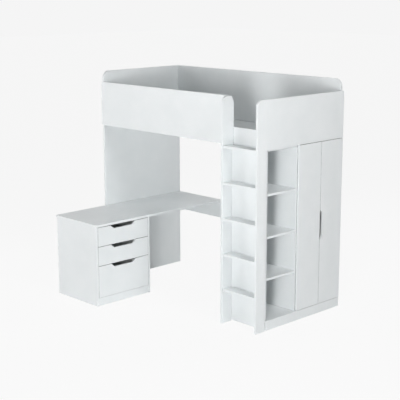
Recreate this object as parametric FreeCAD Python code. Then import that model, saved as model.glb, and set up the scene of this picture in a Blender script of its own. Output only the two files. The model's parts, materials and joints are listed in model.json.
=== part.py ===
import FreeCAD, Part
import math
import os

os.makedirs("parts", exist_ok=True)

Vector = FreeCAD.Vector

# High sleeper bed with ladder, desk, drawer unit, open shelves and wardrobe.
# Millimetres. Working frame: X from the outer face of the left gable, Y from the
# front face of the front guard towards the back, Z up from the floor.

# Bed box
bed_length = 2070.0
bed_depth = 966.0
guard_bottom = 1503.0
high_guard_height = 500.0
low_guard_height = 400.0
bed_board = 20.0
high_corner = 70.0
low_corner = 50.0
guard_end_corner = 60.0
guard_left_corner = 12.0
guard_proud = 10.0
rail_height = 147.0
ledge_width = 25.0
ledge_height = 16.0
beam_height = 70.0
base_board_count = 3
base_board_gap = 2.0

# Ladder
ladder_depth = 110.0
ladder_clear = 365.0
tread_count = 5
top_tread_lift = 7.0
tread_setback = 6.0
tread_back_gap = 4.0

# Boards of the cabinet, the desk and the drawer unit
cabinet_board = 18.0
edge_ease = 0.6
desk_board = 22.0
desk_height = 736.0
desk_right = 604.0
desk_overhang = 574.0
stretcher_height = 151.0

# Drawer unit
unit_inset = 16.0
unit_width = 614.0
unit_plinth_height = 70.0
unit_plinth_recess = 8.0
drawer_count = 3
drawer_gap = 4.0
drawer_side_gap = 2.0
upper_front_height = 171.0
drawer_handle_mouth = 290.0
drawer_handle_floor = 212.0
handle_depth = 31.0
box_board = 12.0
box_back_gap = 12.0
box_lift = 16.0
shallow_box_drop = 45.0
deep_box_drop = 80.0
box_bottom_board = 6.0
box_bottom_lift = 10.0
box_groove = 5.0
runner_space = 13.0
runner_height = 36.0
runner_lift = 30.0
runner_sheet = 1.2
runner_gap = 0.4
track_length = 500.0
slide_length = 480.0

# Shelf and wardrobe cabinet
cabinet_depth = 498.0
cabinet_back_board = 8.0
cabinet_plinth_height = 80.0
plinth_setback = 4.0
shelf_bay_width = 348.0
shelf_height_shares = (0.2534, 0.5039, 0.7544)
wardrobe_shelf_setback = 20.0
rail_radius = 12.5
rail_wall = 1.5
rail_drop = 62.0
rail_end_gap = 2.0
bracket_radius = 20.0
bracket_depth = 12.0
bracket_gap = 0.3
pin_radius = 2.5
pin_length = 9.0
pin_inset = 45.0

# Wardrobe doors
door_board = 18.0
door_back_gap = 4.0
door_gap = 4.0
door_divider_overlap = 5.0
door_rear_setback = 1.0
door_handle_height_share = 0.493
door_handle_mouth = 270.0
door_handle_floor = 196.0
pivot_inset = 7.0
pivot_radius = 3.0
pivot_in_door = 25.0
pivot_in_bush = 14.0
pivot_fit = 0.1
pivot_play = 0.3
bush_radius = 5.0
bush_depth = 16.0
catch_width = 45.0
catch_depth = 14.0
catch_height = 12.0
catch_gap = 0.5

# One overrun for every cut
overrun = 5.0

# Places that several pieces share
high_top = guard_bottom + high_guard_height
low_top = guard_bottom + low_guard_height
tread_rise = (guard_bottom + top_tread_lift) / tread_count
left_inner = bed_board
right_inner = bed_length - bed_board
rear_inner = bed_depth - bed_board
guard_back = bed_board
gable_front = guard_proud
rail_back = guard_back + bed_board
base_seat = guard_bottom + ledge_height
stile_right = right_inner - ladder_clear
stile_left = stile_right - bed_board

desk_underside = desk_height - desk_board
desk_front = -desk_overhang
unit_left = left_inner + unit_inset
unit_front_inner = desk_front + cabinet_board
unit_rear_outer = desk_front + unit_width
unit_rear_inner = unit_rear_outer - cabinet_board
unit_back_inner = unit_left + cabinet_board
front_back = desk_right - cabinet_board

door_front = bed_length
door_back = door_front - door_board
cabinet_front = door_back - door_back_gap
cabinet_rear = cabinet_front - cabinet_depth
bay_back = cabinet_rear + cabinet_back_board
side_outer = guard_back
side_inner = side_outer + cabinet_board
divider_left = side_inner + shelf_bay_width
divider_right = divider_left + cabinet_board
wardrobe_rear = bed_depth - cabinet_board
cabinet_ceiling = guard_bottom - cabinet_board
floor_under = cabinet_plinth_height - cabinet_board
door_low = cabinet_plinth_height + door_gap
door_top = guard_bottom - door_gap
door_handle_height = door_low + door_handle_height_share * (door_top - door_low)
door_left_edge = divider_right - door_divider_overlap
door_right_edge = bed_depth - door_rear_setback
door_width = (door_right_edge - door_left_edge - door_gap) / 2
pivot_x = door_back + pivot_inset
left_pivot_y = door_left_edge + pivot_inset
right_pivot_y = door_right_edge - pivot_inset

# The part's origin is the middle of its floor rectangle
to_origin = Vector(-bed_length / 2, (desk_overhang - bed_depth) / 2, 0)


def eased(shape):
    """Take the sharp arris off every straight or curved edge of a board's two faces."""
    return shape.makeChamfer(edge_ease, shape.Edges)


def box(x0, x1, y0, y1, z0, z1):
    return Part.makeBox(x1 - x0, y1 - y0, z1 - z0, Vector(x0, y0, z0))


def board(x0, x1, y0, y1, z0, z1):
    return eased(box(x0, x1, y0, y1, z0, z1))


def rounded_wire(corners, place):
    """Closed wire through (a, b, radius) corners; a radius above zero becomes a tangent arc."""
    points = [Vector(a, b, 0) for a, b, _ in corners]
    runs = []
    arcs = []
    for i, (_, _, radius) in enumerate(corners):
        corner = points[i]
        back = (points[i - 1] - corner).normalize()
        ahead = (points[(i + 1) % len(points)] - corner).normalize()
        reach = radius / math.tan(back.getAngle(ahead) / 2)
        start = corner + back * reach
        end = corner + ahead * reach
        runs.append((start, end))
        inward = (back + ahead).normalize()
        middle = corner + inward * (radius / math.sin(back.getAngle(ahead) / 2) - radius)
        arcs.append((start, middle, end) if radius else None)
    edges = []
    for i, arc in enumerate(arcs):
        if arc:
            edges.append(Part.Arc(*[place(p) for p in arc]).toShape())
        leave = runs[i][1]
        arrive = runs[(i + 1) % len(runs)][0]
        edges.append(Part.LineSegment(place(leave), place(arrive)).toShape())
    return Part.Wire(edges)


def slab(corners, axis, start, thickness):
    """Board cut to an outline, with the arris of both faces taken off."""
    places = {
        "x": lambda p: Vector(start, p.x, p.y),
        "y": lambda p: Vector(p.x, start, p.y),
        "z": lambda p: Vector(p.x, p.y, start),
    }
    ways = {"x": Vector(thickness, 0, 0), "y": Vector(0, thickness, 0), "z": Vector(0, 0, thickness)}
    solid = Part.Face(rounded_wire(corners, places[axis])).extrude(ways[axis])
    faces = [f for f in solid.Faces if is_cut_face(f, axis, start, thickness)]
    rims = [edge for face in faces for edge in face.Edges]
    return solid.makeChamfer(edge_ease, rims)


def is_cut_face(face, axis, start, thickness):
    """True for the two faces of a board that show its outline."""
    bounds = face.BoundBox
    low = {"x": bounds.XMin, "y": bounds.YMin, "z": bounds.ZMin}[axis]
    high = {"x": bounds.XMax, "y": bounds.YMax, "z": bounds.ZMax}[axis]
    return high - low < thickness / 2


def cylinder(radius, length, at, way):
    return Part.makeCylinder(radius, length, at, way)


def export(name, solids):
    """Write one node: a single solid, or a group of separate solids."""
    shape = solids if isinstance(solids, Part.Shape) else Part.makeCompound(solids)
    moved = shape.copy()
    moved.translate(to_origin)
    moved.exportStep("parts/%s.step" % name)


Y_WAY = Vector(0, 1, 0)
UP = Vector(0, 0, 1)
DOWN = Vector(0, 0, -1)


def left_gable():
    """Tall end panel; the front guard is let into a notch in its front edge."""
    return slab(
        [
            (gable_front, 0, 0),
            (bed_depth, 0, 0),
            (bed_depth, high_top, 0),
            (gable_front, high_top, high_corner),
            (gable_front, low_top, 0),
            (guard_back, low_top, 0),
            (guard_back, guard_bottom, 0),
            (gable_front, guard_bottom, 0),
        ],
        "x", 0, bed_board,
    )


def right_gable():
    """End guard and ladder leg in one piece, with bores for the door pivots' bushes."""
    panel = slab(
        [
            (-ladder_depth, 0, 0),
            (0, 0, 0),
            (0, guard_bottom, 0),
            (bed_depth, guard_bottom, 0),
            (bed_depth, low_top, 0),
            (-ladder_depth, low_top, low_corner),
        ],
        "x", right_inner, bed_board,
    )
    for y in (left_pivot_y, right_pivot_y):
        panel = panel.cut(bush_bore(y, guard_bottom, UP))
    return panel


def bush_bore(y, z, way):
    start = Vector(pivot_x, y, z) - way * overrun
    return cylinder(bush_radius, bush_depth + overrun, start, way)


def front_guard():
    return slab(
        [
            (0, guard_bottom, guard_left_corner),
            (stile_right, guard_bottom, 0),
            (stile_right, low_top, guard_end_corner),
            (0, low_top, guard_left_corner),
        ],
        "y", 0, bed_board,
    )


def rear_guard():
    return slab(
        [
            (left_inner, guard_bottom, 0),
            (right_inner, guard_bottom, 0),
            (right_inner, high_top, high_corner),
            (left_inner, high_top, 0),
        ],
        "y", rear_inner, bed_board,
    )


def bed_rail():
    """Inner rail along the front; it is the toe board in the ladder opening."""
    return board(left_inner, right_inner, guard_back, rail_back, guard_bottom, guard_bottom + rail_height)


def ledge(y0):
    return board(left_inner, right_inner, y0, y0 + ledge_width, guard_bottom, base_seat)


def centre_beam():
    """Beam under the middle of the base, notched where it lies on the cabinet."""
    middle = (rail_back + rear_inner - bed_board) / 2
    return slab(
        [
            (left_inner, base_seat - beam_height, 0),
            (cabinet_rear, base_seat - beam_height, 0),
            (cabinet_rear, guard_bottom, 0),
            (right_inner, guard_bottom, 0),
            (right_inner, base_seat, 0),
            (left_inner, base_seat, 0),
        ],
        "y", middle, bed_board,
    )


def base_boards():
    """Loose boards that lie on the ledges and the beam and carry the mattress."""
    room = right_inner - left_inner - base_board_gap * (base_board_count + 1)
    length = room / base_board_count
    front = rail_back + base_board_gap
    rear = rear_inner - base_board_gap
    for i in range(base_board_count):
        x = left_inner + base_board_gap + i * (length + base_board_gap)
        yield board(x, x + length, front, rear, base_seat, base_seat + cabinet_board)


def ladder_stile():
    return slab(
        [
            (-ladder_depth, 0, 0),
            (0, 0, 0),
            (0, low_top, 0),
            (-ladder_depth, low_top, low_corner),
        ],
        "x", stile_left, bed_board,
    )


def ladder_tread(step):
    top = step * tread_rise
    front = tread_setback - ladder_depth
    return board(stile_right, right_inner, front, -tread_back_gap, top - bed_board, top)


def desk_top():
    return board(left_inner, desk_right, desk_front, bed_depth, desk_underside, desk_height)


def rear_stretcher():
    low = desk_underside - stretcher_height
    return board(left_inner, cabinet_rear, rear_inner, bed_depth, low, desk_underside)


def unit_end(y0):
    return board(unit_left, desk_right, y0, y0 + cabinet_board, 0, desk_underside)


def unit_back():
    return board(unit_left, unit_back_inner, unit_front_inner, unit_rear_inner, 0, desk_underside)


def unit_plinth():
    face = desk_right - unit_plinth_recess
    return board(face - cabinet_board, face, unit_front_inner, unit_rear_inner, 0, unit_plinth_height)


def unit_floor():
    front = desk_right - unit_plinth_recess - cabinet_board
    low = unit_plinth_height - cabinet_board
    return board(unit_back_inner, front, unit_front_inner, unit_rear_inner, low, unit_plinth_height)


def drawer_places():
    """Bottom and top of each drawer front, and the height of its box, from the top one down."""
    top = desk_underside - drawer_gap
    for i in range(drawer_count):
        last = i == drawer_count - 1
        low = unit_plinth_height + drawer_gap if last else top - upper_front_height
        drop = deep_box_drop if last else shallow_box_drop
        yield low, top, top - low - box_lift - drop
        top = low - drawer_gap


box_front_side = unit_front_inner + runner_space
box_rear_side = unit_rear_inner - runner_space
box_rear_end = unit_back_inner + box_back_gap


def drawer_front(low, top):
    """Inset front with a finger notch cut in its top edge."""
    near = unit_front_inner + drawer_side_gap
    far = unit_rear_inner - drawer_side_gap
    middle = (near + far) / 2
    notch = top - handle_depth
    return slab(
        [
            (near, low, 0),
            (far, low, 0),
            (far, top, 0),
            (middle + drawer_handle_mouth / 2, top, 0),
            (middle + drawer_handle_floor / 2, notch, 0),
            (middle - drawer_handle_floor / 2, notch, 0),
            (middle - drawer_handle_mouth / 2, top, 0),
            (near, top, 0),
        ],
        "x", front_back, cabinet_board,
    )


def drawer_sides(low, height):
    """Both sides of a drawer box, grooved for the bottom."""
    base = low + box_lift
    groove_low = base + box_bottom_lift
    sides = []
    for y0 in (box_front_side, box_rear_side - box_board):
        side = box(box_rear_end, front_back, y0, y0 + box_board, base, base + height)
        sides.append(side.cut(drawer_bottom_space(groove_low)))
    return sides


def drawer_bottom_space(groove_low):
    near = box_front_side + box_board - box_groove
    far = box_rear_side - box_board + box_groove
    return box(box_rear_end, front_back, near, far, groove_low, groove_low + box_bottom_board)


def drawer_bottom(low):
    return drawer_bottom_space(low + box_lift + box_bottom_lift)


def drawer_back(low, height):
    base = low + box_lift
    seat = base + box_bottom_lift + box_bottom_board
    near = box_front_side + box_board
    far = box_rear_side - box_board
    return box(box_rear_end, box_rear_end + box_board, near, far, seat, base + height)


def channel(x0, length, wall_y, mouth_y, low, high):
    """Steel channel: a web flat on the wall, and two flanges that reach to the mouth."""
    into = 1 if mouth_y > wall_y else -1
    y0, y1 = sorted((wall_y, mouth_y))
    body = box(x0, x0 + length, y0, y1, low, high)
    h0, h1 = sorted((wall_y + into * runner_sheet, mouth_y + into * overrun))
    return body.cut(box(x0, x0 + length, h0, h1, low + runner_sheet, high - runner_sheet))


def drawer_tracks(low):
    """Fixed channels on the unit's end panels."""
    z = low + box_lift + runner_lift
    reach = runner_space - runner_gap
    walls = ((unit_front_inner, reach), (unit_rear_inner, -reach))
    x = front_back - track_length
    return [channel(x, track_length, wall, wall + deep, z, z + runner_height) for wall, deep in walls]


def drawer_slides(low):
    """Channels on the drawer box, which run inside the fixed ones."""
    margin = runner_sheet + runner_gap
    z = low + box_lift + runner_lift
    reach = runner_space - margin
    walls = ((box_front_side, -reach), (box_rear_side, reach))
    x = front_back - slide_length
    high = z + runner_height - margin
    return [channel(x, slide_length, wall, wall + deep, z + margin, high) for wall, deep in walls]


def cabinet_side(y0):
    return board(cabinet_rear, cabinet_front, y0, y0 + cabinet_board, 0, guard_bottom)


def cabinet_divider():
    return board(bay_back, cabinet_front, divider_left, divider_right, cabinet_plinth_height, cabinet_ceiling)


def cabinet_level(low):
    """Floor or top of the cabinet, between its two sides."""
    return board(bay_back, cabinet_front, side_inner, wardrobe_rear, low, low + cabinet_board)


def cabinet_back():
    return box(cabinet_rear, bay_back, side_inner, wardrobe_rear, floor_under, guard_bottom)


def cabinet_plinth():
    """Board across the foot of the cabinet, bored for the lower door pivots' bushes."""
    face = door_front - plinth_setback
    plinth = board(cabinet_front, face, side_outer, bed_depth, 0, cabinet_plinth_height)
    for y in (left_pivot_y, right_pivot_y):
        plinth = plinth.cut(bush_bore(y, cabinet_plinth_height, DOWN))
    return plinth


def shelf_tops():
    """Tops of the loose shelves, shared out between the cabinet's floor and ceiling."""
    room = cabinet_ceiling - cabinet_plinth_height
    return [cabinet_plinth_height + share * room for share in shelf_height_shares]


def open_shelf(top):
    return board(bay_back, cabinet_front, side_inner, divider_left, top - cabinet_board, top)


def wardrobe_shelf():
    top = shelf_tops()[-1]
    front = cabinet_front - wardrobe_shelf_setback
    return board(bay_back, front, divider_right, wardrobe_rear, top - cabinet_board, top)


def shelf_pins():
    """Pegs under both ends of every loose shelf."""
    pins = []
    bays = [(top, side_inner, divider_left) for top in shelf_tops()]
    bays.append((shelf_tops()[-1], divider_right, wardrobe_rear))
    rows = (bay_back + pin_inset, cabinet_front - wardrobe_shelf_setback - pin_inset)
    for top, near, far in bays:
        z = top - cabinet_board - pin_radius
        for x in rows:
            pins.append(cylinder(pin_radius, pin_length, Vector(x, near, z), Y_WAY))
            pins.append(cylinder(pin_radius, pin_length, Vector(x, far, z), -Y_WAY))
    return pins


rail_x = (bay_back + cabinet_front) / 2
rail_z = shelf_tops()[-1] - cabinet_board - rail_drop


def clothes_rail():
    start = Vector(rail_x, divider_right + rail_end_gap, rail_z)
    length = wardrobe_rear - divider_right - 2 * rail_end_gap
    tube = cylinder(rail_radius, length, start, Y_WAY)
    return tube.cut(cylinder(rail_radius - rail_wall, length, start, Y_WAY))


def rail_brackets():
    """Cups on the wardrobe walls that hold the ends of the clothes rail."""
    cups = []
    for y, way in ((divider_right, Y_WAY), (wardrobe_rear, -Y_WAY)):
        at = Vector(rail_x, y, rail_z)
        cup = cylinder(bracket_radius, bracket_depth, at, way)
        mouth = at + way * rail_end_gap
        cups.append(cup.cut(cylinder(rail_radius + bracket_gap, bracket_depth, mouth, way)))
    return cups


def door(y0, y1, handle_edge):
    """Door panel; the one with a handle edge has the finger notch cut in that edge."""
    outline = [(y0, door_low, 0), (y1, door_low, 0), (y1, door_top, 0), (y0, door_top, 0)]
    if handle_edge:
        notch = y0 + handle_depth
        outline += [
            (y0, door_handle_height + door_handle_mouth / 2, 0),
            (notch, door_handle_height + door_handle_floor / 2, 0),
            (notch, door_handle_height - door_handle_floor / 2, 0),
            (y0, door_handle_height - door_handle_mouth / 2, 0),
        ]
    return slab(outline, "x", door_back, door_board)


def bored_door(panel, y):
    """Bore the top and bottom edges for the pivot pins."""
    for z, way in ((door_top, DOWN), (door_low, UP)):
        start = Vector(pivot_x, y, z) - way * overrun
        panel = panel.cut(cylinder(pivot_radius + pivot_fit, pivot_in_door + overrun, start, way))
    return panel


def door_pivots(y):
    """Steel pins that stand out of the door's top and bottom edges."""
    length = pivot_in_door + door_gap + pivot_in_bush
    top = Vector(pivot_x, y, door_top - pivot_in_door)
    low = Vector(pivot_x, y, door_low + pivot_in_door)
    return [cylinder(pivot_radius, length, top, UP), cylinder(pivot_radius, length, low, DOWN)]


def pivot_bushes():
    """Plastic bushes in the gable and the plinth that the door pins turn in."""
    bushes = []
    for y in (left_pivot_y, right_pivot_y):
        for z, way in ((guard_bottom, UP), (cabinet_plinth_height, DOWN)):
            at = Vector(pivot_x, y, z)
            body = cylinder(bush_radius - pivot_fit, bush_depth, at, way)
            bushes.append(body.cut(cylinder(pivot_radius + pivot_play, bush_depth, at, way)))
    return bushes


def door_catches():
    """Magnetic catches under the cabinet's top, one behind each door's free edge."""
    middle = door_left_edge + door_width + door_gap / 2
    x1 = door_back - catch_gap
    catches = []
    for y0 in (middle - door_gap - catch_width, middle + door_gap):
        z0 = cabinet_ceiling - catch_height
        catches.append(box(x1 - catch_depth, x1, y0, y0 + catch_width, z0, cabinet_ceiling))
    return catches


# Bed box and ladder
export("left_gable", left_gable())
export("right_gable", right_gable())
export("front_guard", front_guard())
export("rear_guard", rear_guard())
export("bed_rail", bed_rail())
export("front_ledge", ledge(rail_back))
export("rear_ledge", ledge(rear_inner - ledge_width))
export("centre_beam", centre_beam())
for number, base in enumerate(base_boards(), 1):
    export("base_board_%d" % number, base)
export("ladder_stile", ladder_stile())
for step in range(1, tread_count + 1):
    export("ladder_tread_%d" % step, ladder_tread(step))

# Desk and drawer unit
export("desk_top", desk_top())
export("rear_stretcher", rear_stretcher())
export("unit_front_end", unit_end(desk_front))
export("unit_rear_end", unit_end(unit_rear_inner))
export("unit_back", unit_back())
export("unit_floor", unit_floor())
export("unit_plinth", unit_plinth())
tracks = []
for number, (low, top, height) in enumerate(drawer_places(), 1):
    export("drawer_%d_front" % number, drawer_front(low, top))
    export("drawer_%d_sides" % number, drawer_sides(low, height))
    export("drawer_%d_back" % number, drawer_back(low, height))
    export("drawer_%d_bottom" % number, drawer_bottom(low))
    export("drawer_%d_slides" % number, drawer_slides(low))
    tracks += drawer_tracks(low)
export("drawer_tracks", tracks)

# Shelf and wardrobe cabinet
export("cabinet_side", cabinet_side(side_outer))
export("cabinet_rear_side", cabinet_side(wardrobe_rear))
export("cabinet_divider", cabinet_divider())
export("cabinet_floor", cabinet_level(floor_under))
export("cabinet_top", cabinet_level(cabinet_ceiling))
export("cabinet_back", cabinet_back())
export("cabinet_plinth", cabinet_plinth())
for number, top in enumerate(shelf_tops(), 1):
    export("open_shelf_%d" % number, open_shelf(top))
export("wardrobe_shelf", wardrobe_shelf())
export("shelf_pins", shelf_pins())
export("clothes_rail", clothes_rail())
export("rail_brackets", rail_brackets())
export("door_catches", door_catches())
export("pivot_bushes", pivot_bushes())

# Wardrobe doors
left_door = door(door_left_edge, door_left_edge + door_width, False)
right_door = door(door_right_edge - door_width, door_right_edge, True)
export("left_door", bored_door(left_door, left_pivot_y))
export("right_door", bored_door(right_door, right_pivot_y))
export("left_door_pivots", door_pivots(left_pivot_y))
export("right_door_pivots", door_pivots(right_pivot_y))
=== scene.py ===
import json
import math

import bpy
from mathutils import Matrix, Vector


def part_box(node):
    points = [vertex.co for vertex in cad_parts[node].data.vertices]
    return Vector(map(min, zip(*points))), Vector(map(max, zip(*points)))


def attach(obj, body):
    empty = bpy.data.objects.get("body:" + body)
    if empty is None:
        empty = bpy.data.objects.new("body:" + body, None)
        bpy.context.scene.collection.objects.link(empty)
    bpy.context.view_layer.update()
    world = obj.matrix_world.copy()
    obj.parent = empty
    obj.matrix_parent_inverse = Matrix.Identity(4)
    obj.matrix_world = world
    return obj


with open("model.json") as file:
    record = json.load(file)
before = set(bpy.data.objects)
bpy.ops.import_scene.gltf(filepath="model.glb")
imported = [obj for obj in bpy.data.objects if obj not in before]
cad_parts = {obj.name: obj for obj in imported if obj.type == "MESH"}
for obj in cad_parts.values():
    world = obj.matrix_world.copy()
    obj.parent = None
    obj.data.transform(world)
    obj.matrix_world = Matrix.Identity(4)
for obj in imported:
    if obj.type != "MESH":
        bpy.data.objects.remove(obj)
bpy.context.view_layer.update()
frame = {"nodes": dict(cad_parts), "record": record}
scene = bpy.context.scene
scene.view_settings.view_transform = "Standard"

MM = 0.001


def linear(hex_value):
    """The linear colour that a shader socket takes, from an sRGB hex value."""
    shares = [int(hex_value[i:i + 2], 16) / 255 for i in (1, 3, 5)]
    return [s / 12.92 if s <= 0.04045 else ((s + 0.055) / 1.055) ** 2.4 for s in shares] + [1.0]


def add(tree, kind, inputs=None, **settings):
    """Add one node, set its properties, and set or link its inputs by name or number."""
    node = tree.nodes.new(kind)
    for key, value in settings.items():
        setattr(node, key, value)
    for key, value in (inputs or {}).items():
        socket = node.inputs[key]
        if isinstance(value, bpy.types.NodeSocket):
            tree.links.new(value, socket)
        else:
            socket.default_value = value
    return node


def noise(tree, place, grain_mm, detail):
    """Noise with grains about so many millimetres wide."""
    inputs = {"Vector": place, "Scale": 1 / (grain_mm * MM), "Detail": detail}
    return add(tree, "ShaderNodeTexNoise", inputs).outputs["Fac"]


def mapped(tree, value, start, end, to_start=0.0, to_end=1.0):
    """A value carried from one range over to another, and held at its ends."""
    inputs = {
        "Value": value, "From Min": start, "From Max": end, "To Min": to_start, "To Max": to_end,
    }
    return add(tree, "ShaderNodeMapRange", inputs).outputs[0]


def product(tree, first, second):
    """Two values multiplied."""
    return add(tree, "ShaderNodeMath", {0: first, 1: second}, operation="MULTIPLY").outputs[0]


def blended(tree, share, first, second):
    """A colour between two colours, the second one where the share is 1."""
    inputs = {"Factor": share, 6: first, 7: second}
    return add(tree, "ShaderNodeMix", inputs, data_type="RGBA").outputs[2]


def relief(tree, height, strength, depth_mm):
    """A normal that follows a fine relief."""
    inputs = {"Height": height, "Strength": strength, "Distance": depth_mm * MM}
    return add(tree, "ShaderNodeBump", inputs).outputs[0]


def new_material(name):
    """A new material, its tree and the shader that every finish here ends in."""
    material = bpy.data.materials.new(name)
    material.use_nodes = True
    tree = material.node_tree
    return material, tree, tree.nodes["Principled BSDF"]


def foil_board(name, face_hex, mottle_hex, edge_hex, roughness, pearl_mm, scuffed):
    """Melamine foil pressed on chipboard: a pale satin skin with a faint mottle, a fine pearl
    grain that softens reflections, a thin edge band whose joint shows as a line of its own,
    and painted shade that draws a dark line in the narrow gaps between the boards."""
    press_mark_mm, paper_grain_mm, gloss_patch_mm, rub_mm = 140, 6, 60, 35
    edge_band_mm, gap_shade_reach_mm, scuff_top_mm = 1.6, 9, 90
    # Near-black colour and reach of the painted shade in narrow gaps
    gap_shade_hex = "#45484A"
    gloss_swing = 0.05
    material, tree, shader = new_material(name)
    place = add(tree, "ShaderNodeTexCoord").outputs["Object"]

    # Press marks of a hand's width and paper grain of a few millimetres shift the white a little
    cloud = noise(tree, place, press_mark_mm, 3.0)
    paper = noise(tree, place, paper_grain_mm, 2.0)
    mottle = mapped(tree, product(tree, cloud, paper), 0.12, 0.42)
    face = blended(tree, mottle, linear(mottle_hex), linear(face_hex))

    # The edge band's joint, found where a rounded normal leaves the flat one
    turned = add(tree, "ShaderNodeBevel", {"Radius": edge_band_mm * MM}, samples=6)
    flat = add(tree, "ShaderNodeNewGeometry")
    along = add(
        tree, "ShaderNodeVectorMath",
        {0: turned.outputs[0], 1: flat.outputs["True Normal"]},
        operation="DOT_PRODUCT",
    )
    band = mapped(tree, along.outputs["Value"], 0.995, 0.90)
    colour = blended(tree, band, face, linear(edge_hex))

    # Painted shade: the colour turns near-black where another board stands only a few millimetres
    # off
    gap_openness = add(
        tree, "ShaderNodeAmbientOcclusion", {"Distance": gap_shade_reach_mm * MM}, samples=8)
    painted_gap_shade = mapped(tree, gap_openness.outputs["AO"], 0.56, 0.3, to_end=0.95)
    colour = blended(tree, painted_gap_shade, colour, linear(gap_shade_hex))

    if scuffed:
        # Shoes and brooms dull the lowest hand's width of what stands on the floor
        height = add(tree, "ShaderNodeSeparateXYZ", {0: place}).outputs["Z"]
        rub = noise(tree, place, rub_mm, 4.0)
        low = mapped(tree, height, scuff_top_mm * MM, 0.0, to_end=0.35)
        colour = blended(tree, product(tree, low, rub), colour, linear(mottle_hex))

    gloss = noise(tree, place, gloss_patch_mm, 2.0)
    satin = mapped(tree, gloss, 0.3, 0.7, roughness - gloss_swing, roughness + gloss_swing)
    pearl = relief(tree, noise(tree, place, pearl_mm, 2.0), 0.06, 0.2)
    tree.links.new(colour, shader.inputs["Base Color"])
    tree.links.new(satin, shader.inputs["Roughness"])
    tree.links.new(pearl, shader.inputs["Normal"])
    shader.inputs["IOR"].default_value = 1.5
    return material


def plated_steel(name, light_hex, dark_hex, roughness, grain_mm, stretch):
    """Bright metal: streaks or spangle of its plating, drawn out along the rolling direction."""
    wear_swing = 0.06
    material, tree, shader = new_material(name)
    place = add(tree, "ShaderNodeTexCoord").outputs["Object"]
    drawn = add(tree, "ShaderNodeMapping", {"Vector": place, "Scale": stretch})
    spangle = noise(tree, drawn.outputs[0], grain_mm, 4.0)
    colour = blended(tree, spangle, linear(dark_hex), linear(light_hex))
    worn = mapped(tree, spangle, 0.3, 0.7, roughness - wear_swing, roughness + wear_swing)
    tree.links.new(colour, shader.inputs["Base Color"])
    tree.links.new(worn, shader.inputs["Roughness"])
    tree.links.new(relief(tree, spangle, 0.04, 0.1), shader.inputs["Normal"])
    shader.inputs["Metallic"].default_value = 1.0
    return material


def moulded_nylon(name, face_hex, shade_hex):
    """Injection-moulded nylon: a soft waxy white with a spark-eroded grain."""
    erosion_mm = 0.8
    material, tree, shader = new_material(name)
    place = add(tree, "ShaderNodeTexCoord").outputs["Object"]
    grain = noise(tree, place, erosion_mm, 2.0)
    colour = blended(tree, grain, linear(shade_hex), linear(face_hex))
    tree.links.new(colour, shader.inputs["Base Color"])
    tree.links.new(relief(tree, grain, 0.1, 0.1), shader.inputs["Normal"])
    shader.inputs["Roughness"].default_value = 0.5
    shader.inputs["IOR"].default_value = 1.53
    return material


finishes = {
    "white_foil_board": foil_board(
        "white_melamine_foil_board", "#F0F3F4", "#EBEFF0", "#EDF0F1", 0.42, 1.5, True),
    "base_board_foil": foil_board(
        "matt_melamine_base_board", "#EAEEEF", "#E5EAEB", "#E8ECED", 0.55, 1.5, False),
    "drawer_box_foil": foil_board(
        "grey_white_drawer_foil", "#F0F2F2", "#EAEDED", "#F2F4F4", 0.55, 1.2, False),
    "zinc_steel": plated_steel(
        "zinc_plated_steel", "#C6CACD", "#A4A9AD", 0.36, 4.0, (0.3, 1.0, 1.0)),
    "chrome_steel": plated_steel(
        "polished_chrome_tube", "#DADDDF", "#CFD3D6", 0.14, 1.5, (1.0, 0.05, 1.0)),
    "white_nylon": moulded_nylon("moulded_white_nylon", "#E6E7E4", "#DCDDD9"),
}

for entry in frame["record"]["subparts"]:
    mesh = frame["nodes"][entry["node"]].data
    mesh.materials.clear()
    mesh.materials.append(finishes[entry["material_slot"]])


# Small fittings: screws, nails and cover caps, on the hidden faces where the joints are made
def new_tree(name, inputs):
    """A Geometry Nodes tree with named inputs, and the sockets that give their values."""
    tree = bpy.data.node_groups.new(name, "GeometryNodeTree")
    for label, kind in {"Geometry": "Geometry", **inputs, "Material": "Material"}.items():
        tree.interface.new_socket(name=label, in_out="INPUT", socket_type="NodeSocket" + kind)
    tree.interface.new_socket(name="Geometry", in_out="OUTPUT", socket_type="NodeSocketGeometry")
    return tree, add(tree, "NodeGroupInput").outputs


def stand_on(tree, points, fitting, spin, material):
    """Stand a copy of the fitting upright on every point, spun about its own axis."""
    outward = add(
        tree, "GeometryNodeInputNamedAttribute", {"Name": "outward"}, data_type="FLOAT_VECTOR")
    upright = add(
        tree, "FunctionNodeAlignRotationToVector", {"Vector": outward.outputs[0]}, axis="Z")
    about_axis = add(tree, "ShaderNodeCombineXYZ", {"Z": spin})
    spun = add(tree, "FunctionNodeEulerToRotation", {0: about_axis.outputs[0]})
    turned = add(
        tree, "FunctionNodeRotateRotation",
        {"Rotation": upright.outputs[0], "Rotate By": spun.outputs[0]},
        rotation_space="LOCAL",
    )
    copies = add(
        tree, "GeometryNodeInstanceOnPoints",
        {"Points": points, "Instance": fitting, "Rotation": turned.outputs[0]},
    )
    solid = add(tree, "GeometryNodeRealizeInstances", {0: copies.outputs[0]}).outputs[0]
    done = add(tree, "GeometryNodeSetMaterial", {"Geometry": solid, "Material": material})
    add(tree, "NodeGroupOutput", {0: done.outputs[0]})


def shifted(tree, shape, way, distance):
    """A shape moved along one of its own axes."""
    offset = add(tree, "ShaderNodeCombineXYZ", {way: distance}).outputs[0]
    return add(tree, "GeometryNodeTransform", {0: shape, "Translation": offset}).outputs[0]


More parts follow.
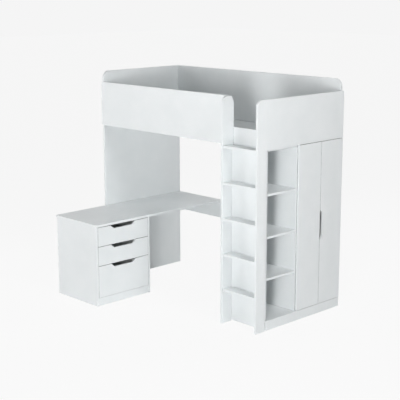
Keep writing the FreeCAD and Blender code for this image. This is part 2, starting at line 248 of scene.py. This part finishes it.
def fastener_rows():
    """Heads of screws, nails or cover caps along lines, each turned as the driver left it."""
    tree, given = new_tree("fastener_rows", {
        "Spacing": "Float", "Head radius": "Float", "Crown radius": "Float",
        "Head height": "Float", "Cross recess": "Bool", "Recess span": "Float",
        "Recess width": "Float", "Turn seed": "Int",
    })
    plain = add(
        tree, "GeometryNodeMeshCone",
        {"Vertices": 20, "Radius Top": given["Crown radius"],
         "Radius Bottom": given["Head radius"], "Depth": given["Head height"]},
    ).outputs["Mesh"]
    crossed = add(tree, "GeometryNodeMeshBoolean", {0: plain}, operation="DIFFERENCE")
    lift = product(tree, given["Head height"], 0.9)
    for long_way, short_way in (("X", "Y"), ("Y", "X")):
        size = add(tree, "ShaderNodeCombineXYZ", {
            long_way: given["Recess span"],
            short_way: given["Recess width"],
            "Z": given["Head height"],
        })
        bar = add(tree, "GeometryNodeMeshCube", {"Size": size.outputs[0]})
        tree.links.new(shifted(tree, bar.outputs[0], "Z", lift), crossed.inputs[1])
    head = add(
        tree, "GeometryNodeSwitch",
        {"Switch": given["Cross recess"], "False": plain, "True": crossed.outputs[0]},
        input_type="GEOMETRY",
    )
    lines = add(tree, "GeometryNodeMeshToCurve", {0: given["Geometry"]})
    stops = add(
        tree, "GeometryNodeResampleCurve",
        {0: lines.outputs[0], "Length": given["Spacing"]},
        mode="LENGTH",
    )
    spin = add(
        tree, "FunctionNodeRandomValue",
        {2: 0.0, 3: math.pi / 2, "Seed": given["Turn seed"]},
        data_type="FLOAT",
    )
    stand_on(tree, stops.outputs[0], head.outputs[0], spin.outputs[1], given["Material"])
    return tree


def strike_plates():
    """Thin plates with rounded corners and two screw holes, for the magnetic catches."""
    tree, given = new_tree("strike_plates", {
        "Length": "Float", "Width": "Float", "Corner": "Float", "Thickness": "Float",
        "Hole radius": "Float", "Hole offset": "Float",
    })
    sheet = add(
        tree, "GeometryNodeCurvePrimitiveQuadrilateral",
        {"Width": given["Width"], "Height": given["Length"]},
    )
    rounded = add(
        tree, "GeometryNodeFilletCurve",
        {0: sheet.outputs[0], "Radius": given["Corner"], "Count": 4},
        mode="POLY",
    )
    outline = add(tree, "GeometryNodeJoinGeometry", {0: rounded.outputs[0]})
    hole = add(
        tree, "GeometryNodeCurvePrimitiveCircle",
        {"Resolution": 12, "Radius": given["Hole radius"]},
    )
    for side in (-1.0, 1.0):
        offset = product(tree, given["Hole offset"], side)
        tree.links.new(shifted(tree, hole.outputs[0], "Y", offset), outline.inputs[0])
    face = add(tree, "GeometryNodeFillCurve", {0: outline.outputs[0]})
    raised = add(
        tree, "GeometryNodeExtrudeMesh",
        {0: face.outputs[0], "Offset Scale": given["Thickness"], "Individual": False},
    )
    under = add(tree, "GeometryNodeFlipFaces", {0: face.outputs[0]})
    both = add(tree, "GeometryNodeJoinGeometry", {0: raised.outputs[0]})
    tree.links.new(under.outputs[0], both.inputs[0])
    plate = add(
        tree, "GeometryNodeMergeByDistance", {0: both.outputs[0], "Distance": 0.01 * MM})
    stand_on(tree, given["Geometry"], plate.outputs[0], 0.0, given["Material"])
    return tree


def fit(name, body, slot_name, tree, values, rows):
    """One piece of fittings on a body, from rows of points and the way that each row faces."""
    seats = bpy.data.meshes.new(name + "_seats")
    places = []
    lines = []
    ways = []
    for points, way in rows:
        lines += [(len(places) + i, len(places) + i + 1) for i in range(len(points) - 1)]
        places += [[part * MM for part in point] for point in points]
        ways += list(way) * len(points)
    seats.from_pydata(places, lines, [])
    seats.attributes.new("outward", "FLOAT_VECTOR", "POINT").data.foreach_set("vector", ways)
    maker = bpy.data.objects.new(name + "_maker", seats)
    scene.collection.objects.link(maker)
    modifier = maker.modifiers.new("rows", "NODES")
    modifier.node_group = tree
    values = {**values, "Material": finishes[slot_name]}
    for socket in tree.interface.items_tree:
        if socket.in_out == "INPUT" and socket.name in values:
            modifier[socket.identifier] = values[socket.name]
    graph = bpy.context.evaluated_depsgraph_get()
    mesh = bpy.data.meshes.new_from_object(maker.evaluated_get(graph), depsgraph=graph)
    bpy.data.objects.remove(maker)
    mesh.name = name
    piece = bpy.data.objects.new(name, mesh)
    scene.collection.objects.link(piece)
    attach(piece, body)


def corners(node):
    """A node's lowest and highest corner in millimetres, as x0, y0, z0, x1, y1, z1."""
    return [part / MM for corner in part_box(node) for part in corner]


def row(start, end, way):
    """A line of fittings from one point in millimetres to another, and the way they face."""
    return (start, end), way


rows_tree = fastener_rows()
plate_tree = strike_plates()
pan_screw = {
    "Spacing": 210 * MM, "Head radius": 3.6 * MM, "Crown radius": 2.3 * MM,
    "Head height": 2.0 * MM, "Cross recess": True, "Recess span": 3.4 * MM,
    "Recess width": 0.8 * MM, "Turn seed": 7,
}
flush_screw = {
    **pan_screw, "Head radius": 2.0 * MM, "Crown radius": 2.0 * MM, "Head height": 0.3 * MM,
    "Recess span": 2.4 * MM, "Recess width": 0.6 * MM,
}
panel_nail = {
    "Spacing": 130 * MM, "Head radius": 2.8 * MM, "Crown radius": 2.4 * MM,
    "Head height": 0.9 * MM,
}
# Caps sit only at the two ends of a row, so their spacing is longer than any row
cover_cap = {
    "Spacing": 3000 * MM, "Head radius": 8.5 * MM, "Crown radius": 7.6 * MM,
    "Head height": 1.2 * MM,
}
plate_hole_offset = 10
strike_plate = {
    "Length": 34 * MM, "Width": 10 * MM, "Corner": 2.5 * MM, "Thickness": 0.35 * MM,
    "Hole radius": 2.2 * MM, "Hole offset": plate_hole_offset * MM,
}
TO_LEFT, TO_FRONT, TO_BACK, DOWNWARDS = (-1, 0, 0), (0, -1, 0), (0, 1, 0), (0, 0, -1)
cam_inset = 34
steel_sheet = 1.2

# The cabinet's back panel is nailed from behind along its rim and the divider
back_x, back_y0, back_z0, _, back_y1, back_z1 = corners("cabinet_back")
_, divider_y0, divider_z0, _, divider_y1, divider_z1 = corners("cabinet_divider")
_, _, _, _, beam_y1, _ = corners("centre_beam")
rim = 9
nail_rows = [
    row((back_x, y, back_z0 + rim), (back_x, y, back_z1 - rim), TO_LEFT)
    for y in (back_y0 + rim, divider_y0 + rim, back_y1 - rim)
]
nail_rows += [
    row((back_x, y0 + cam_inset, z), (back_x, y1 - cam_inset, z), TO_LEFT)
    for z in (back_z0 + rim, back_z1 - rim)
    for y0, y1 in ((back_y0, divider_y0), (beam_y1, back_y1))
]
fit("carcass_nails", "carcass", "zinc_steel", rows_tree, panel_nail, nail_rows)

# White caps cover the cam locks under the treads, the cabinet's top and the desk, and on the
# divider, the rail and the cabinet's side
cap_rows = []
for step in range(1, 6):
    x0, y0, z0, x1, y1, _ = corners("ladder_tread_%d" % step)
    y = (y0 + y1) / 2
    cap_rows.append(row((x0 + cam_inset, y, z0), (x1 - cam_inset, y, z0), DOWNWARDS))

top_x0, top_y0, top_z0, top_x1, top_y1, _ = corners("cabinet_top")
depth_inset = 60
x0, x1 = top_x0 + depth_inset, top_x1 - depth_inset
for y in (top_y0 + cam_inset, top_y1 - cam_inset):
    cap_rows.append(row((x0, y, top_z0), (x1, y, top_z0), DOWNWARDS))
for z in (divider_z0 + cam_inset, divider_z1 - cam_inset):
    cap_rows.append(row((x0, divider_y1, z), (x1, divider_y1, z), TO_BACK))

desk_x0, _, desk_z0, _, desk_y1, _ = corners("desk_top")
desk_rear_inset = 170
x = desk_x0 + cam_inset
cap_rows.append(row((x, 0, desk_z0), (x, desk_y1 - desk_rear_inset, desk_z0), DOWNWARDS))

rail_x0, _, _, rail_x1, rail_y1, rail_z1 = corners("bed_rail")
rail_cap_low, rail_cap_high = rail_z1 - 70, rail_z1 - 25
for x in (rail_x0 + cam_inset, rail_x1 - cam_inset):
    cap_rows.append(row((x, rail_y1, rail_cap_low), (x, rail_y1, rail_cap_high), TO_BACK))

stile_x0, _, _, stile_x1, _, _ = corners("ladder_stile")
stile_x = (stile_x0 + stile_x1) / 2
_, _, _, _, side_y1, side_z1 = corners("cabinet_side")
side_cap_low, side_cap_high = 200, side_z1 - 100
cap_rows.append(row((stile_x, side_y1, side_cap_low), (stile_x, side_y1, side_cap_high), TO_BACK))
fit("carcass_cover_caps", "carcass", "white_nylon", rows_tree, cover_cap, cap_rows)

# Screws hold the guard to the rail, the stile to the guard, the ledges, the fixed runners,
# the rail's cups and the catches
_, _, _, _, guard_y1, guard_z1 = corners("front_guard")
rail_screw_x0, rail_screw_x1, rail_screw_z = rail_x0 + 115, stile_x - 80, rail_z1 - 40
stile_screw_low, stile_screw_high = rail_z1 + 50, guard_z1 - 60
screw_rows = [
    row((rail_screw_x0, rail_y1, rail_screw_z), (rail_screw_x1, rail_y1, rail_screw_z), TO_BACK),
    row((stile_x, guard_y1, stile_screw_low), (stile_x, guard_y1, stile_screw_high), TO_BACK),
]
ledge_inset = 50
for node, way in (("front_ledge", TO_BACK), ("rear_ledge", TO_FRONT)):
    x0, y0, z0, _, y1, z1 = corners(node)
    y = y1 if way == TO_BACK else y0
    z = (z0 + z1) / 2
    screw_rows.append(row((x0 + ledge_inset, y, z), (back_x - ledge_inset, y, z), way))

track_x0, track_y0, _, track_x1, track_y1, _ = corners("drawer_tracks")
track_inset = 30
x0, x1 = track_x0 + track_inset, track_x1 - track_inset
for number in (1, 2, 3):
    _, _, z0, _, _, z1 = corners("drawer_%d_slides" % number)
    z = (z0 + z1) / 2
    for y, way in ((track_y0 + steel_sheet, TO_BACK), (track_y1 - steel_sheet, TO_FRONT)):
        screw_rows.append(row((x0, y, z), (x1, y, z), way))

cup_x0, cup_y0, cup_z0, cup_x1, cup_y1, cup_z1 = corners("rail_brackets")
cup_depth = 12
cup_screw_inset = 3.7
x = (cup_x0 + cup_x1) / 2
for y, way in ((cup_y0 + cup_depth, TO_BACK), (cup_y1 - cup_depth, TO_FRONT)):
    screw_rows.append(row((x, y, cup_z0 + cup_screw_inset), (x, y, cup_z1 - cup_screw_inset), way))

catch_x0, catch_y0, catch_z0, catch_x1, catch_y1, catch_z1 = corners("door_catches")
half_catch = 22.5
catch_screw_offset = 15
catch_middles = {"left_door": catch_y0 + half_catch, "right_door": catch_y1 - half_catch}
x = (catch_x0 + catch_x1) / 2
for y in catch_middles.values():
    start, end = (x, y - catch_screw_offset, catch_z0), (x, y + catch_screw_offset, catch_z0)
    screw_rows.append(row(start, end, DOWNWARDS))
fit("carcass_screws", "carcass", "zinc_steel", rows_tree, pan_screw, screw_rows)

# Each door carries the plate that its catch pulls on
z = (catch_z0 + catch_z1) / 2
for door, y in catch_middles.items():
    x = corners(door)[0]
    middle = [(((x, y, z),), TO_LEFT)]
    holes = [row((x, y - plate_hole_offset, z), (x, y + plate_hole_offset, z), TO_LEFT)]
    fit(door + "_strike_plate", door, "zinc_steel", plate_tree, strike_plate, middle)
    fit(door + "_plate_screws", door, "zinc_steel", rows_tree, flush_screw, holes)

# Each drawer box has screws in its back joints and its moving runners, and caps at its front
# joints
box_wall = 12
slide_inset = 25
back_screw_rise, front_cap_rise, top_drop = 15, 45, 25
front_cap_inset = 24
for number in (1, 2, 3):
    drawer = "drawer_%d" % number
    x0, y0, z0, x1, y1, z1 = corners(drawer + "_sides")
    slide_x0, _, slide_z0, slide_x1, _, slide_z1 = corners(drawer + "_slides")
    slide_x0, slide_x1 = slide_x0 + slide_inset, slide_x1 - slide_inset
    slide_z = (slide_z0 + slide_z1) / 2
    joint_x, cap_x = x0 + box_wall / 2, x1 - front_cap_inset
    top = z1 - top_drop
    screw_rows = []
    cap_rows = []
    for wall, way, inward in ((y0, TO_FRONT, TO_BACK), (y1, TO_BACK, TO_FRONT)):
        web = wall + way[1] * steel_sheet
        inner = wall + inward[1] * box_wall
        screw_rows += [
            row((slide_x0, web, slide_z), (slide_x1, web, slide_z), way),
            row((joint_x, wall, z0 + back_screw_rise), (joint_x, wall, top), way),
        ]
        cap_rows.append(row((cap_x, inner, z0 + front_cap_rise), (cap_x, inner, top), inward))
    fit(drawer + "_screws", drawer, "zinc_steel", rows_tree, pan_screw, screw_rows)
    fit(drawer + "_cover_caps", drawer, "white_nylon", rows_tree, cover_cap, cap_rows)


# Stage: one pale sheet that the camera sees evenly bright, and that still takes the bed's shadow
def seen_rays(tree):
    """A value of 1 for what the camera sees, straight or in a gloss or glass, and 0 for light."""
    ray = add(tree, "ShaderNodeLightPath")
    seen = ray.outputs["Is Camera Ray"]
    for kind in ("Is Glossy Ray", "Is Transmission Ray"):
        either = add(tree, "ShaderNodeMath", {0: seen, 1: ray.outputs[kind]}, operation="MAXIMUM")
        seen = either.outputs[0]
    return seen


def stage_material(name, sheet_hex, seen_share):
    """A matt sheet that looks a set share of its own even glow."""
    material, tree, shader = new_material(name)
    shader.inputs["Base Color"].default_value = linear(sheet_hex)
    shader.inputs["Roughness"].default_value = 0.9
    glow = add(tree, "ShaderNodeEmission", {"Color": linear(sheet_hex), "Strength": 1.0})
    share = product(tree, seen_rays(tree), seen_share)
    mix = add(tree, "ShaderNodeMixShader", {0: share, 1: shader.outputs[0], 2: glow.outputs[0]})
    tree.links.new(mix.outputs[0], tree.nodes["Material Output"].inputs["Surface"])
    return material


floor_half = 40.0
floor_mesh = bpy.data.meshes.new("floor")
floor_mesh.from_pydata(
    [(-floor_half, -floor_half, 0), (floor_half, -floor_half, 0),
     (floor_half, floor_half, 0), (-floor_half, floor_half, 0)],
    [], [(0, 1, 2, 3)],
)
floor = bpy.data.objects.new("floor", floor_mesh)
scene.collection.objects.link(floor)
floor_mesh.materials.append(stage_material("pale_studio_sheet", "#FBFBFB", 0.94))

# World: soft fill for the object, the sheet's own grey for the camera
world = bpy.data.worlds.new("studio")
scene.world = world
world.use_nodes = True
sky = world.node_tree
sky.nodes.clear()
fill = add(sky, "ShaderNodeBackground", {"Color": linear("#FFFFFF"), "Strength": 0.06})
backdrop = add(sky, "ShaderNodeBackground", {"Color": linear("#F5F5F5"), "Strength": 1.0})
pick = add(
    sky, "ShaderNodeMixShader",
    {0: seen_rays(sky), 1: fill.outputs[0], 2: backdrop.outputs[0]},
)
add(sky, "ShaderNodeOutputWorld", {"Surface": pick.outputs[0]})


# Lamps: soft boxes that face the bed, and two bright walls far off behind it
def lamp(name, light, way):
    """A lamp that shines along a way."""
    holder = bpy.data.objects.new(name, light)
    holder.rotation_euler = way.to_track_quat("-Z", "Y").to_euler()
    scene.collection.objects.link(holder)
    return holder


def softbox(name, place, side, watts):
    """A square soft box that faces the bed's middle."""
    bed_middle = Vector((0.3, 0.0, 0.9))
    light = bpy.data.lights.new(name, "AREA")
    light.shape = "SQUARE"
    light.size = side
    light.energy = watts
    box = lamp(name, light, bed_middle - Vector(place))
    box.location = place
    box.visible_camera = False


def far_panel(name, way_to_it, strength):
    """A wide bright wall far off: low even light that leaves no bright place on the floor."""
    light = bpy.data.lights.new(name, "SUN")
    light.angle = math.radians(20)
    light.energy = strength
    lamp(name, light, -Vector(way_to_it))


softbox("far_front_softbox", (5.0, -6.93, 2.0), 1.4, 158)
softbox("near_front_softbox", (3.61, -4.26, 1.3), 0.7, 72)
softbox("high_right_softbox", (5.0, -1.0, 5.0), 1.6, 112)
softbox("left_softbox", (-2.5, -3.0, 2.2), 1.4, 42)
softbox("rear_softbox", (0.0, 4.0, 3.5), 3.0, 52)
far_panel("rear_wall_glow", (0.12, 1.0, 0.1), 0.7)
far_panel("left_wall_glow", (-1.0, 0.06, 0.1), 1.0)

# Camera: the photograph's own view, fitted to the bed's corners
image_pixels = 400
focal_pixels = 1005.476
camera_place = (6.29941, -6.02461, 2.79365)
turn = math.radians(45.949)
tilt = math.radians(12.168)
roll = math.radians(-0.0896)
camera_data = bpy.data.cameras.new("camera")
camera_data.lens = focal_pixels / image_pixels * camera_data.sensor_width
camera = bpy.data.objects.new("camera", camera_data)
camera.matrix_world = (
    Matrix.Translation(camera_place)
    @ Matrix.Rotation(turn, 4, "Z")
    @ Matrix.Rotation(math.pi / 2 - tilt, 4, "X")
    @ Matrix.Rotation(roll, 4, "Z")
)
scene.collection.objects.link(camera)
scene.camera = camera
